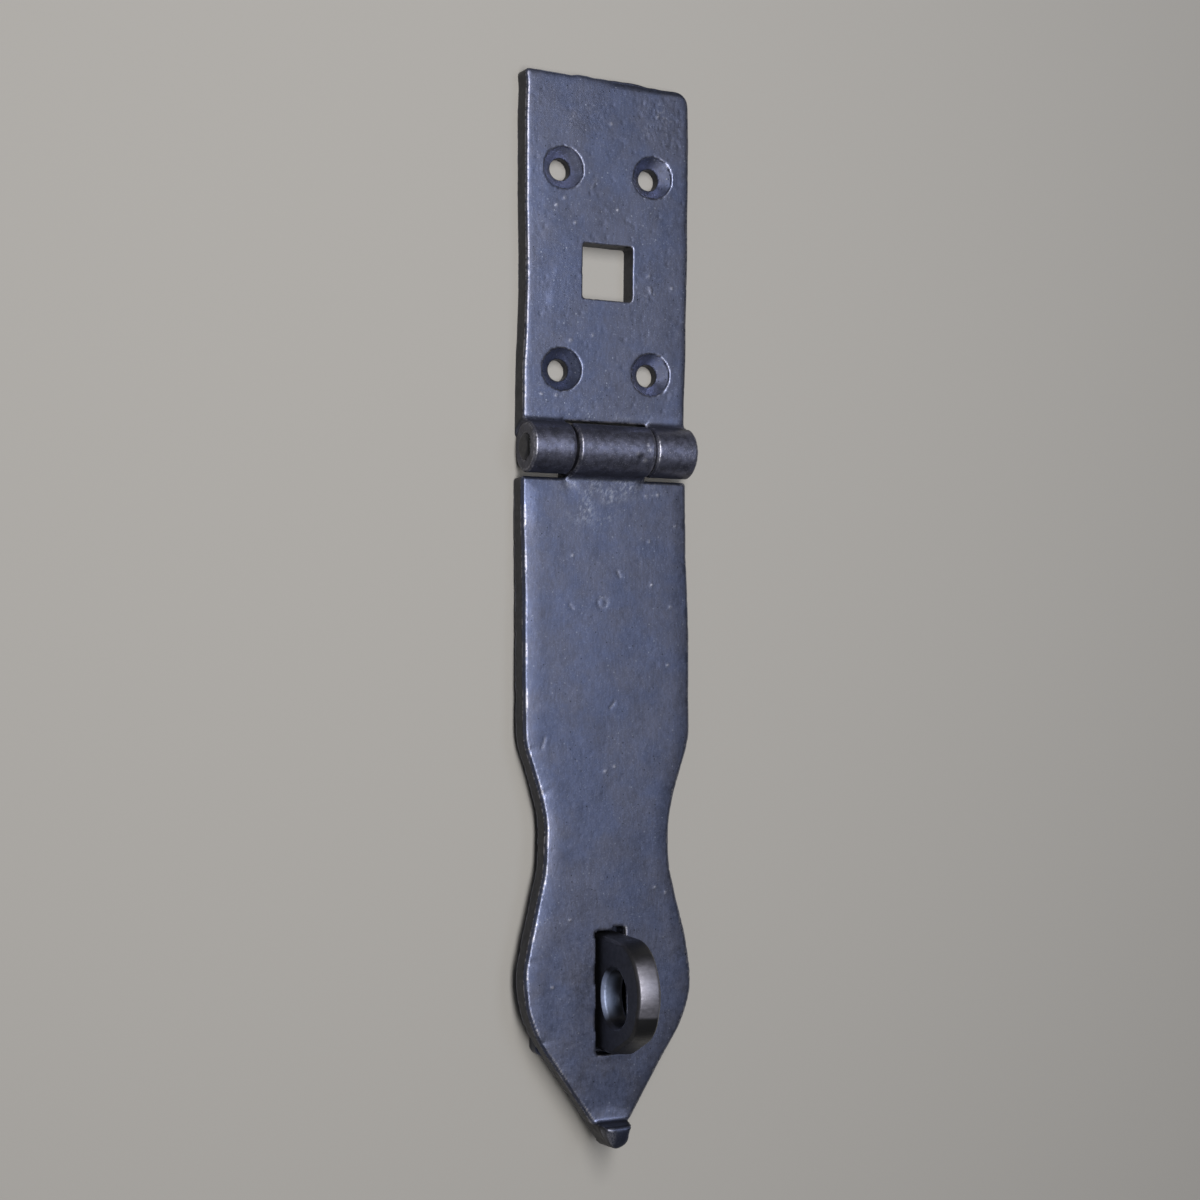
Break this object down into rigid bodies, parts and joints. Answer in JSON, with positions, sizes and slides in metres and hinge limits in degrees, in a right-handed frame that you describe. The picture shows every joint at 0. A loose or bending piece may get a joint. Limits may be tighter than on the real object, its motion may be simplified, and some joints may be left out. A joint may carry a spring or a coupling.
{
  "type": "hasp and staple",
  "caption": "Long iron hasp: a screwed leaf, a riveted hinge and a waisted strap with a raised nose, which closes over a staple for a padlock.",
  "frame": {"origin": "centre of the leaf's four screw holes, on the back face that lies on the door", "axes": "+Z out of the door, +Y from the hinge along the leaf to its free end, +X across"},
  "size_m": [0.0418, 0.2405, 0.03],
  "materials": {
    "leaf_iron": "blackened and waxed, pitted, worn bright on its edges",
    "pin_iron": "blackened, ends riveted",
    "strap_iron": "blackened and waxed, worn bright on its edges",
    "staple_iron": "blackened, ground smooth and brownish on its rim"
  },
  "bodies": {
    "mounted": {"fixed_leaf": "leaf_iron", "hinge_pin": "pin_iron", "staple": "staple_iron"},
    "strap": {"hasp_strap": "strap_iron"}
  },
  "joints": [
    {"name": "strap_hinge", "type": "hinge", "parent": "mounted", "child": "strap", "pos_m": [0, -0.0406, 0.00575], "axis": [-1, 0, 0], "range_deg": [0, 177.7]}
  ]
}
